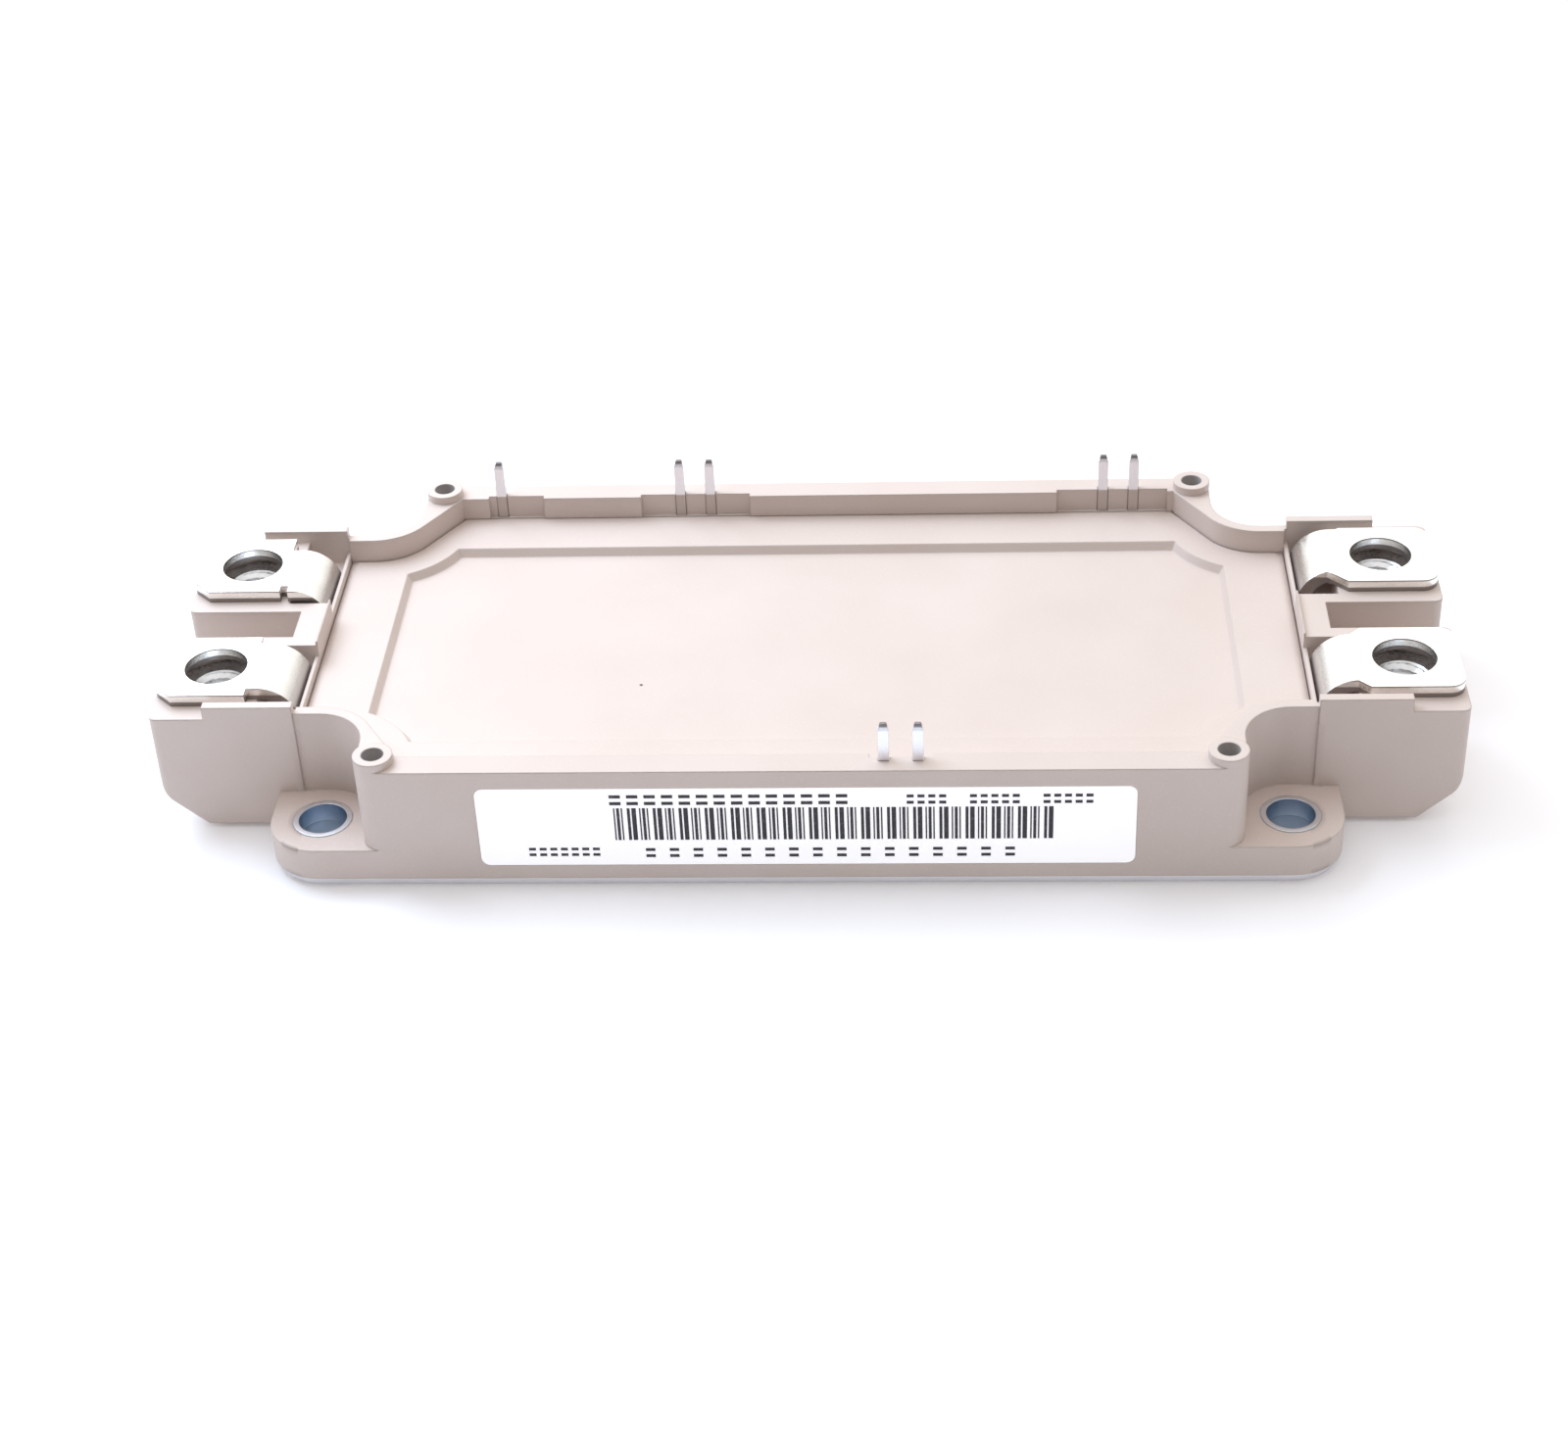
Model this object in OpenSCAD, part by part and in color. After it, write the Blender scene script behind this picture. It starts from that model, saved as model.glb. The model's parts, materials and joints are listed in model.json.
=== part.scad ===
// Half-bridge IGBT power module. A metal base plate carries three soldered ceramic substrates with
// the chips, a moulded frame with a lid closes over them, four strip terminals stand over captive
// nuts at the ends, and seven control pins stand along the sides.
// X runs along the module, Y across it and Z up from the underside of the base plate.

/* [Mounting] */
// Distance between the mounting holes along the module
mount_pitch_x = 110; // [106:1:120]
// Distance between the mounting holes across the module
mount_pitch_y = 50; // [47:0.5:56]
// Bore of the mounting collars and of the holes in the base plate
mount_bore = 5.5; // [4.5:0.1:6]
// Distance from a mounting hole to the edges of the flange
mount_edge = 6; // [5.6:0.1:7]
// Wall thickness of a mounting collar
collar_wall = 0.65; // [0.4:0.05:1]
// Height of a collar's rim above the flange
collar_proud = 0.1; // [0:0.05:0.4]
// Radius of the pocket for a screw head round each mounting hole
pocket_r = 5.6; // [5.2:0.1:6.2]

/* [Base plate] */
// Thickness of the base plate
base_t = 3; // [2.5:0.1:5]
// Thickness of the frame's skirt round the edge of the base plate
skirt_t = 0.5; // [0.4:0.05:1]
// How far the skirt covers the edge of the base plate
skirt_drop = 1.8; // [1:0.1:2.2]
// Gap between the base plate and the skirt
plate_gap = 0.1; // [0.05:0.05:0.2]

/* [Frame] */
// Thickness of the flange over the base plate
flange_t = 2.2; // [1.8:0.1:3.5]
// Height of the frame's rim above the base plate
wall_h = 13; // [12.5:0.5:16]
// Thickness of the long walls at the rim
side_wall = 2.9; // [2.6:0.1:3.4]
// Thickness of the wall round a screw pocket
pocket_wall = 1.4; // [1:0.1:1.8]
// How far the recess for the lid reaches past the mounting holes
recess_reach = 2.9; // [1.6:0.1:3.2]
// Width of the ledge that the lid rests on
seat_w = 1.2; // [0.8:0.1:1.6]
// Width of the inner ledge that carries the feet of the control pins
pin_ledge_w = 2.6; // [2.2:0.1:3]
// Width of the inner ledge that carries the feet of the terminals
end_ledge_w = 6.4; // [5:0.1:7]
// Height of the inner ledges above the base plate
ledge_h = 2.5; // [2:0.1:2.9]
// Overhang of the rim over the long edges of the lid
lip_w = 0.3; // [0.2:0.05:0.5]
// Length of a bay in the rim's inner face at two pins
bay_l = 13.8; // [12:0.2:14.6]
// Length of a short bay
short_bay_l = 7; // [6:0.2:8]
// Depth of the bays behind the edge of the lid
bay_depth = 0.35; // [0.2:0.05:0.4]

/* [Board posts] */
// Distance from a mounting hole to a board post along the module
post_back = 7.75; // [7.25:0.05:8.25]
// Distance from a mounting hole to a board post across the module
post_out = 3.75; // [3.25:0.05:4]
// Diameter of a board post
post_d = 4.5; // [4:0.1:4.8]
// Bore of a board post for a self-tapping screw
post_bore = 2.5; // [1.8:0.1:3]
// Depth of the bore in a board post
post_bore_depth = 10; // [6:0.5:11.5]
// Height of a board post above the rim
post_proud = 1; // [0.2:0.1:2]
// Thickness of the wall between a board post and the recess for the lid
post_wall = 0.2; // [0.1:0.05:0.6]

/* [Lid] */
// Thickness of the lid
lid_t = 2; // [1.6:0.1:2.4]
// Depth of the lid's top below the rim
lid_drop = 3; // [2:0.1:3.4]
// Gap round the edge of the lid
lid_gap = 0.15; // [0.1:0.05:0.3]
// Depth of the dish in the lid
dish_depth = 1; // [0.4:0.1:1.3]
// Width of the dish's sloping border
dish_slope = 0.6; // [0.2:0.1:1.2]
// Border of the lid beside the dish
dish_border = 7.3; // [6:0.1:9]
// Border of the lid at the ends of the dish
dish_end_border = 7.5; // [5:0.1:9]
// Border of the lid between the dish and a screw pocket's wall
dish_corner_border = 4; // [3:0.1:6]

/* [Power terminals] */
// Distance from a mounting hole to a terminal's hole along the module
terminal_reach = 13.5; // [13:0.1:15]
// Distance between the two terminals at one end
terminal_pitch = 22; // [20:0.5:23]
// Width of a terminal
terminal_w = 12; // [11:0.1:12.5]
// Thickness of the terminal strip
terminal_t = 1.5; // [1:0.1:2]
// Hole in a terminal for its screw
terminal_hole = 7.3; // [6.2:0.1:7.8]
// Distance from a terminal's hole to its outer end
terminal_end = 6.3; // [5.5:0.1:7]
// Size of the corners at a terminal's outer end
terminal_corner = 2; // [1:0.1:3]
// Depth of the shoulders where a terminal narrows to its neck
shoulder = 1.3; // [0.6:0.1:2]
// Distance from a terminal's hole to the start of its shoulders
shoulder_start = 4.4; // [4:0.1:5]
// Sideways shift of the neck of the rear output terminal
neck_shift = 1; // [0:0.1:1.2]
// Width of the relief cut where the neck of a direct-current terminal starts
relief_w = 0.9; // [0.5:0.1:1.2]
// Depth of the relief cut
relief_depth = 1.2; // [0.5:0.1:1.4]
// Outer radius of a terminal's upper bend
bend_r = 4.5; // [4:0.1:5.4]
// Outer radius of a terminal's lower bend
foot_bend_r = 2; // [1.6:0.1:2.4]
// Thickness of the frame's wall between the lid and a terminal's leg
leg_wall = 0.5; // [0.3:0.1:0.6]
// Height of that wall's top above the lid beside a terminal
leg_wall_h = 1; // [0.2:0.1:2]
// Distance from a terminal's side to the bridge's edge of its pocket
leg_gap = 0.4; // [0.1:0.05:0.6]
// How far a terminal's foot lies back from the edge of its ledge
foot_back = 0.8; // [0.4:0.1:1.4]

/* [Terminal blocks] */
// Depth of a block's top below the rim
block_drop = 0.5; // [0.2:0.1:1]
// Length of a block past the end of its terminal
block_lip = 0.2; // [0:0.1:1]
// Distance from a terminal's side to the block's side ridge
ridge_gap = 1.5; // [0.5:0.1:2]
// Thickness of a block's side ridge
ridge_t = 1.2; // [0.8:0.1:2]
// Height of a side ridge above the block
ridge_h = 1.6; // [1:0.1:2.4]
// Distance from a terminal's side to the slot between the blocks
slot_border = 2.25; // [1.5:0.05:2.5]
// Distance from the recess for the lid to the start of the blocks' side ridges
ridge_start = 0.2; // [0.1:0.1:0.6]
// Length of the bridge between the recess for the lid and the slot
bridge_l = 3.3; // [3:0.1:4.5]
// Height of a block's underside above the bottom of the base plate
block_lift = 0.65; // [0.4:0.05:1]
// Length of the slope under a block's outer end
toe_run = 5; // [3:0.1:6]
// Height of the slope under a block's outer end
toe_rise = 4.4; // [3:0.1:5]
// Radius between the slope and a block's end face
toe_r = 4; // [1:0.1:5]
// Radius of a block's upright corners
block_corner_r = 1; // [0.4:0.1:2]

/* [Nuts] */
// Width of a captive nut across its flats
nut_af = 10; // [9:0.1:10.4]
// Height of a captive nut
nut_h = 5; // [4:0.1:5.5]
// Bore of a captive nut
nut_bore = 5; // [4:0.1:5.6]
// How far a nut's flat face lies inside its flats
nut_face_inset = 0.1; // [0.05:0.05:0.4]
// Depth of a captive nut below the top of its block
nut_play = 1.2; // [0.5:0.1:1.5]
// Gap round a nut in its pocket
nut_gap = 0.1; // [0.05:0.05:0.2]
// Bore under a nut for the end of the screw
screw_bore = 6.8; // [6:0.1:7.5]
// Depth of the bore under a nut
screw_depth = 4.5; // [3:0.1:5]

/* [Control pins] */
// Width of a control pin along the module
pin_w = 1.2; // [0.8:0.1:1.5]
// Thickness of a control pin
pin_t = 0.8; // [0.5:0.1:1]
// Distance from a pin's middle to the outside of the frame
pin_inset = 2.25; // [1.9:0.05:2.5]
// Height of the pins above the rim
pin_h = 4.8; // [3:0.1:6]
// Length of a pin's tapered tip
pin_tip = 0.8; // [0.4:0.1:1.5]
// Width of a pin's tip as a share of the pin's own width
pin_tip_share = 0.55; // [0.3:0.05:0.8]
// How far a pin's foot lies back from the edge of its ledge
pin_foot_back = 0.5; // [0.3:0.1:1]
// Grid of the places for the pins
pin_grid = 3.81; // [3.5:0.01:4]

/* [Label] */
// Length of the label
label_l = 73.3; // [60:0.1:80]
// Height of the label
label_h = 10.6; // [8:0.1:11]
// Height of the label's lower edge above the bottom of the base plate
label_z = 3.1; // [2.5:0.1:4]
// Distance from the label's middle to the module's middle
label_x = 0.65; // [0:0.05:2]
// Thickness of the label
label_t = 0.1; // [0.05:0.05:0.2]
// Radius of the label's corners
label_r = 1; // [0.5:0.1:2]

/* [Substrates] */
// Thickness of the solder under a substrate
solder_t = 0.2; // [0.1:0.05:0.3]
// Thickness of a copper layer
copper_t = 0.3; // [0.2:0.05:0.4]
// Thickness of the ceramic layer
ceramic_t = 0.4; // [0.3:0.05:0.7]
// Gap between neighbouring substrates
substrate_gap = 1.5; // [1:0.1:2.5]
// Gap between a substrate and the frame
substrate_margin = 0.8; // [0.5:0.1:1.2]
// Border of bare ceramic round the copper
ceramic_border = 0.6; // [0.3:0.1:0.8]
// Gap between neighbouring copper fields
track_gap = 1; // [0.6:0.1:1.2]
// Width of the copper strips for the gates
gate_strip_w = 1.8; // [1.4:0.1:2.2]
// Width of the copper strip for the negative supply
minus_strip_w = 4; // [3:0.1:4.5]

/* [Chips and wires] */
// Side of a square IGBT chip
igbt_l = 12; // [10:0.1:12.6]
// Length of a diode chip along the module
diode_l = 9; // [7:0.1:10]
// Width of a diode chip across the module
diode_w = 12; // [9:0.1:12.6]
// Thickness of a chip
chip_t = 0.2; // [0.1:0.05:0.3]
// Distance from a chip to the copper's end
chip_border = 2.4; // [2:0.1:2.8]
// Distance from a chip to the copper's lower side
chip_edge = 1; // [0.5:0.1:1.2]
// Diameter of a bond wire
wire_d = 0.4; // [0.3:0.05:0.5]
// Distance between neighbouring bond wires
wire_pitch = 1.4; // [1:0.1:1.6]
// Rise of a bond wire for each millimetre of its span
wire_arch = 0.25; // [0.18:0.01:0.3]
// Rise of a wire from a terminal for each millimetre of its span
terminal_wire_arch = 0.15; // [0.12:0.01:0.18]
// Distance between neighbouring wires that link two substrates
link_pitch = 0.8; // [0.6:0.1:0.9]
// Distance from the end of a bond wire to the edge of its chip or field
wire_inset = 0.8; // [0.7:0.1:0.9]
// Length of the thermistor
thermistor_l = 2; // [1.6:0.1:3]
// Width of the thermistor
thermistor_w = 1.1; // [0.8:0.1:1.2]
// Height of the thermistor
thermistor_h = 0.6; // [0.4:0.1:0.8]
// Length of the copper pad at the thermistor's left end
thermistor_pad = 8; // [4:0.5:9]
// Thickness of the gel's top layer
gel_t = 1; // [0.5:0.1:1]
// Air between the gel and the lid
gel_air = 0.5; // [0.3:0.1:0.6]

/* [Hidden] */
$fn = 64;
// Overlap of cutters with what they cut, reach of the long ones, and gap round pieces set in plastic
eps = 0.01;
over = 1;
far = 30;
tool_gap = 0.05;
// Share of a bond wire's run that is cut level at its higher pad
start_share = 0.25;

// Plan of the mounting, the walls and the recess, one quarter of each
mount_x = mount_pitch_x / 2;
mount_y = mount_pitch_y / 2;
flange_x = mount_x + mount_edge;
side_y = mount_y + mount_edge;
body_x = mount_x - pocket_r;
neck_y = mount_y - pocket_r;
collar_d = mount_bore + 2 * collar_wall;
post_x = mount_x - post_back;
post_y = mount_y + post_out;
recess_x = mount_x + recess_reach;
recess_y = side_y - side_wall;
cavity_x = recess_x - seat_w;
cavity_y = recess_y - seat_w;
floor_y = cavity_y - pin_ledge_w;
body_corner_r = side_y - post_y;

// Heights
skirt_z = base_t - skirt_drop;
flange_z = base_t + flange_t;
rim_z = base_t + wall_h;
lid_z = rim_z - lid_drop;
seat_z = lid_z - lid_t;
block_z = rim_z - block_drop;
nut_z = block_z - nut_play - nut_h;
ledge_z = base_t + ledge_h;
post_z = rim_z + post_proud;
pin_z = rim_z + pin_h;

// Terminals and their blocks
terminal_x = mount_x + terminal_reach;
terminal_y = terminal_pitch / 2;
terminal_end_x = terminal_x + terminal_end;
block_x = terminal_end_x + block_lip;
leg_x = recess_x + leg_wall;
block_y = terminal_y + terminal_w / 2 + ridge_gap + ridge_t;
ridge_x = recess_x + ridge_start;
bridge_x = recess_x + bridge_l;
slot_y = terminal_y - terminal_w / 2 - slot_border;
neck_w = terminal_w - 2 * shoulder;
foot_z = ledge_z;

// Places of the pins on their grid: steps from the middle, and the side of the module
PINS = [[-10.5, 1], [-4.5, 1], [-3.5, 1], [9.5, 1], [10.5, 1], [2.5, -1], [3.5, -1]];
pin_y = side_y - pin_inset;
pin_foot_y = floor_y + pin_foot_back;
thermistor_x = (PINS[3][0] + PINS[4][0]) / 2 * pin_grid;
// Bays at the pins: middle on the same grid, side of the module, length
BAYS = [[-10, 1, short_bay_l], [-4, 1, bay_l], [9.8, 1, bay_l], [3, -1, short_bay_l]];

// Terminals: end of the module, side of the module, rounded corners, shift of the neck outwards.
// The plus terminal's neck keeps the line of its inner side, broken only by the relief cut.
PLUS = [-1, 1, false, -shoulder];
MINUS = [-1, -1, false, 0];
OUTPUT_FRONT = [1, -1, true, 0];
OUTPUT_REAR = [1, 1, true, neck_shift];
TERMINALS = [PLUS, MINUS, OUTPUT_FRONT, OUTPUT_REAR];

// Substrates: the row ends where the walls round the screw pockets begin
pocket_r_in = pocket_r + pocket_wall;
post_r_in = post_d / 2 + post_wall;
tangent_n = tangent_normal([post_x, post_y], post_r_in, [mount_x, mount_y], pocket_r_in);
row_y = floor_y - substrate_margin;
row_x = wall_x(row_y, seat_w) - substrate_margin;
substrate_l = (2 * row_x - 2 * substrate_gap) / 3;
substrate_pitch = substrate_l + substrate_gap;
floor_x = cavity_x - end_ledge_w;
foot_x = floor_x + foot_back;
copper_l = substrate_l - 2 * ceramic_border;
copper_y = row_y - ceramic_border;
solder_z = base_t;
lower_copper_z = solder_z + solder_t;
ceramic_z = lower_copper_z + copper_t;
track_z = ceramic_z + ceramic_t;
chip_z = track_z + copper_t;
chip_top_z = chip_z + chip_t;

// Copper fields across a substrate, from the rear side to the front
field_w = (2 * copper_y - 2 * gate_strip_w - minus_strip_w - 4 * track_gap) / 2;
plus_y = copper_y - gate_strip_w - track_gap - field_w;
output_y = plus_y - track_gap - field_w;
minus_y = output_y - track_gap - minus_strip_w;
igbt_x = -copper_l / 2 + chip_border + igbt_l / 2;
diode_x = copper_l / 2 - chip_border - diode_l / 2;
gel_z = seat_z - dish_depth - gel_air - gel_t;

plastic = [0.87, 0.82, 0.78];
nickel = [0.86, 0.85, 0.82];
zinc = [0.72, 0.77, 0.82];
copper = [0.80, 0.50, 0.36];
silicon = [0.36, 0.38, 0.42];

// ---- plane geometry ----

// Direction of the line that touches both circles on their inner side
function tangent_normal(a, ra, b, rb) =
    let (d = b - a, turn = atan2(d.y, d.x) + acos((rb - ra) / norm(d)))
    [cos(turn), sin(turn)];

// Where the wall between a post and a screw pocket stands at height y of the plan, grown by g
function wall_x(y, g) =
    let (p = [post_x, post_y] - (post_r_in + g) * tangent_n)
    p.x + (p.y - y) * tangent_n.y / tangent_n.x;

module four_corners() {
    for (mx = [0, 1], my = [0, 1])
        mirror([mx, 0, 0]) mirror([0, my, 0]) children();
}

module rounded_plate(l, w, r) {
    square([l - 2 * r, w], center = true);
    square([l, w - 2 * r], center = true);
    for (x = [-1, 1], y = [-1, 1])
        translate([x * (l / 2 - r), y * (w / 2 - r)]) circle(r);
}

// What rounds off the corner at p, whose edges run along the unit vectors u and v, with radius r
module corner_waste(p, u, v, r) {
    half = acos(u * v) / 2;
    run = r / tan(half);
    middle = p + (u + v) / norm(u + v) * r / sin(half);
    difference() {
        polygon([p + run * u, p - (middle - p) * eps, p + run * v, middle]);
        translate(middle) circle(r);
    }
}

// The open corner over a mounting hole, with radius r round the hole
module screw_pocket(r) {
    translate([mount_x, mount_y]) circle(r);
    translate([mount_x - r, mount_y]) square([far, far]);
    translate([mount_x, mount_y - r]) square([far, far]);
}

// Plastic that wraps a post and a screw pocket at one corner, grown inwards by g. The straight wall
// between the two round ones lies a hair inside their common tangent, so it meets both cleanly.
module corner_mass(g) {
    post = [post_x, post_y];
    mount = [mount_x, mount_y];
    screw_pocket(pocket_r_in + g);
    translate(post) circle(post_r_in + g);
    polygon([post, post - (post_r_in + g - eps) * tangent_n, mount - (pocket_r_in + g - eps) * tangent_n,
        mount, [mount_x, mount_y + far], [post_x, mount_y + far]]);
}

// Outline inside the frame: a rectangle with the four corner masses taken out
module inner_outline(x, y, g) {
    difference() {
        square([2 * x, 2 * y], center = true);
        four_corners() corner_mass(g);
    }
}

module body_outline() {
    difference() {
        square([2 * bridge_x, 2 * side_y], center = true);
        four_corners() {
            screw_pocket(pocket_r);
            corner_waste([body_x, side_y], [-1, 0], [0, -1], body_corner_r);
        }
    }
}

// ---- base plate and frame ----

module mount_holes(d) {
    for (x = [-1, 1], y = [-1, 1])
        translate([x * mount_x, y * mount_y]) circle(d = d);
}

module base_plate() color(zinc)
    linear_extrude(base_t)
        difference() {
            inset = skirt_t + plate_gap;
            rounded_plate(2 * (flange_x - inset), 2 * (side_y - inset), mount_edge - inset);
            mount_holes(mount_bore);
        }

// Side view of a terminal block at the +X end: X along the page, Z up
module block_profile() {
    floor_end = flange_x + skirt_t;
    toe = [block_x, block_lift + toe_rise];
    slope = [toe_run, toe_rise] / norm([toe_run, toe_rise]);
    difference() {
        polygon([[cavity_x, skirt_z], [floor_end, skirt_z], [floor_end, block_lift],
            [block_x - toe_run, block_lift], toe, [block_x, block_z], [cavity_x, block_z]]);
        corner_waste(toe, -slope, [0, 1], toe_r);
    }
}

// Both blocks at the +X end, seen from above
module block_plan() {
    difference() {
        translate([ridge_x, -block_y]) square([block_x - ridge_x, 2 * block_y]);
        translate([bridge_x, -slot_y]) square([far, 2 * slot_y]);
        for (s = [-1, 1]) {
            corner_waste([block_x, s * block_y], [-1, 0], [0, -s], block_corner_r);
            corner_waste([block_x, s * slot_y], [-1, 0], [0, s], block_corner_r);
        }
    }
}

module blocks() {
    intersection() {
        translate([0, block_y, 0]) rotate([90, 0, 0]) linear_extrude(2 * block_y) block_profile();
        linear_extrude(block_z) block_plan();
    }
    for (s = [-1, 1])
        translate([ridge_x, s * (block_y - ridge_t / 2) - ridge_t / 2, block_z - eps])
            cube([terminal_x - ridge_x, ridge_t, ridge_h + eps]);
}

module frame_solid() {
    translate([0, 0, skirt_z])
        linear_extrude(flange_z - skirt_z)
            rounded_plate(2 * flange_x, 2 * side_y, mount_edge);
    translate([0, 0, flange_z - eps])
        linear_extrude(block_z - flange_z + eps) body_outline();
    translate([0, 0, block_z - eps])
        linear_extrude(rim_z - block_z + eps)
            intersection() {
                body_outline();
                square([2 * ridge_x, 2 * side_y], center = true);
            }
    for (mx = [0, 1]) mirror([mx, 0, 0]) blocks();
    for (x = [-1, 1], y = [-1, 1])
        translate([x * post_x, y * post_y, flange_z - eps])
            cylinder(d = post_d, h = post_z - flange_z + eps);
}

// Recess for the lid: under the rim's lip as wide as the lid, above it open between the lips,
// with a bay in the lip wherever pins stand
module lid_room() {
    lip_z = lid_z + tool_gap;
    lip_y = recess_y - lip_w;
    translate([0, 0, seat_z]) linear_extrude(lip_z - seat_z) inner_outline(recess_x, recess_y, 0);
    translate([0, 0, seat_z]) linear_extrude(far) inner_outline(recess_x, lip_y, 0);
    for (b = BAYS)
        translate([b[0] * pin_grid, 0, lip_z]) mirror([0, b[1] < 0 ? 1 : 0, 0])
            translate([-b[2] / 2, lip_y - eps, 0]) cube([b[2], lip_w + bay_depth + eps, far]);
}

// Space of a terminal's leg and foot, and the open pocket round its upper bend. The pocket
// reaches the side ridge, and on the lid's side its wall ends a little above the lid.
module terminal_room(t) {
    room_w = neck_w + 2 * tool_gap;
    room_y = t[3] * t[1] - room_w / 2;
    pocket_w = terminal_w + leg_gap + ridge_gap;
    pocket_y = (t[1] > 0 ? -terminal_w / 2 - leg_gap : -terminal_w / 2 - ridge_gap);
    end_terminal(t) {
        translate([leg_x - tool_gap, room_y, foot_z])
            cube([terminal_t + 2 * tool_gap, room_w, far]);
        translate([foot_x, room_y, foot_z])
            cube([leg_x - foot_x, room_w, foot_bend_r + tool_gap]);
        translate([leg_x - tool_gap, pocket_y, block_z - bend_r + terminal_t])
            cube([bend_r + 2 * tool_gap, pocket_w, far]);
        translate([recess_x - eps, pocket_y, lid_z + leg_wall_h])
            cube([leg_wall + 2 * eps, pocket_w, far]);
    }
}

// Moves what is drawn for the +X end to terminal t's end and side
module end_terminal(t) {
    mirror([t[0] < 0 ? 1 : 0, 0, 0]) translate([0, t[1] * terminal_y, 0]) children();
}

module nut_room(t) {
    end_terminal(t) translate([terminal_x, 0, nut_z]) {
        rotate(30) cylinder(d = (nut_af + 2 * nut_gap) / cos(30), h = far, $fn = 6);
        translate([0, 0, -screw_depth]) cylinder(d = screw_bore, h = far);
    }
}

// Moves what is drawn for the rear side's middle to pin p's place and side
module at_pin(p) {
    translate([p[0] * pin_grid, 0, 0]) mirror([0, p[1] < 0 ? 1 : 0, 0]) children();
}

module pin_room(p) {
    room_w = pin_w + 2 * tool_gap;
    at_pin(p) {
        translate([-room_w / 2, pin_y - pin_t / 2 - tool_gap, ledge_z])
            cube([room_w, pin_t + 2 * tool_gap, far]);
        translate([-room_w / 2, cavity_y - eps, ledge_z])
            cube([room_w, pin_y - cavity_y + eps, pin_t + tool_gap]);
    }
}

module frame() color(plastic) {
    difference() {
        frame_solid();
        // room for the base plate, with the edge gap
        translate([0, 0, -eps])
            linear_extrude(base_t + eps)
                rounded_plate(2 * (flange_x - skirt_t), 2 * (side_y - skirt_t), mount_edge - skirt_t);
        // opening over the substrates, then the cavity, then the recess for the lid
        linear_extrude(far) inner_outline(floor_x, floor_y, seat_w);
        translate([0, 0, ledge_z]) linear_extrude(far) inner_outline(cavity_x, cavity_y, seat_w);
        lid_room();
        translate([0, 0, -eps]) linear_extrude(flange_z + 2 * eps) mount_holes(collar_d);
        for (x = [-1, 1], y = [-1, 1])
            translate([x * post_x, y * post_y, post_z - post_bore_depth])
                cylinder(d = post_bore, h = far);
        for (t = TERMINALS) {
            terminal_room(t);
            nut_room(t);
        }
        for (p = PINS) pin_room(p);
        label_room();
    }
}

module collar(sx, sy) color(zinc)
    translate([sx * mount_x, sy * mount_y, base_t])
        difference() {
            cylinder(d = collar_d, h = flange_t + collar_proud);
            translate([0, 0, -eps]) cylinder(d = mount_bore, h = flange_t + collar_proud + 2 * eps);
        }

// ---- lid and label ----

// The dish at height h over its floor is wider by the same share of its slope
module dish(grow, h) {
    x = recess_x - dish_end_border + grow;
    y = recess_y - dish_border + grow;
    r = pocket_r_in + dish_corner_border - grow;
    difference() {
        intersection() {
            translate([0, y, 0]) rotate([90, 0, 0]) linear_extrude(2 * y)
                polygon([[-x + dish_slope, 0], [x - dish_slope, 0], [x, h], [-x, h]]);
            translate([-x, 0, 0]) rotate([90, 0, 90]) linear_extrude(2 * x)
                polygon([[-y + dish_slope, 0], [y - dish_slope, 0], [y, h], [-y, h]]);
        }
        four_corners() translate([mount_x, mount_y, 0]) cylinder(r1 = r + dish_slope, r2 = r, h = h);
    }
}

module lid() color(plastic) {
    difference() {
        union() {
            translate([0, 0, seat_z])
                linear_extrude(lid_t)
                    inner_outline(recess_x - lid_gap, recess_y - lid_gap, lid_gap);
            translate([0, 0, seat_z - dish_depth]) dish(lid_t - dish_depth, dish_depth + eps);
        }
        translate([0, 0, lid_z - dish_depth]) dish(0, dish_depth + eps);
    }
}

module label_plate(gap) {
    translate([label_x, -side_y + label_t, label_z + label_h / 2])
        rotate([90, 0, 0])
            linear_extrude(label_t + gap)
                rounded_plate(label_l + 2 * gap, label_h + 2 * gap, label_r + gap);
}

module label_room() label_plate(tool_gap);
module side_label() color("white") label_plate(0);

// ---- terminals, nuts and pins ----

// Side view of a terminal's strip: over the block, down the leg and in to the foot
module strip_profile() {
    top_z = block_z + terminal_t;
    back_x = leg_x + terminal_t;
    difference() {
        polygon([[foot_x, foot_z], [back_x, foot_z], [back_x, block_z], [terminal_end_x, block_z],
            [terminal_end_x, top_z], [leg_x, top_z], [leg_x, foot_z + terminal_t],
            [foot_x, foot_z + terminal_t]]);
        corner_waste([leg_x, top_z], [1, 0], [0, -1], bend_r);
        corner_waste([back_x, foot_z], [-1, 0], [0, 1], foot_bend_r);
    }
    corner_waste([back_x, block_z], [1, 0], [0, -1], bend_r - terminal_t);
    corner_waste([leg_x, foot_z + terminal_t], [-1, 0], [0, 1], foot_bend_r - terminal_t);
}

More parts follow.
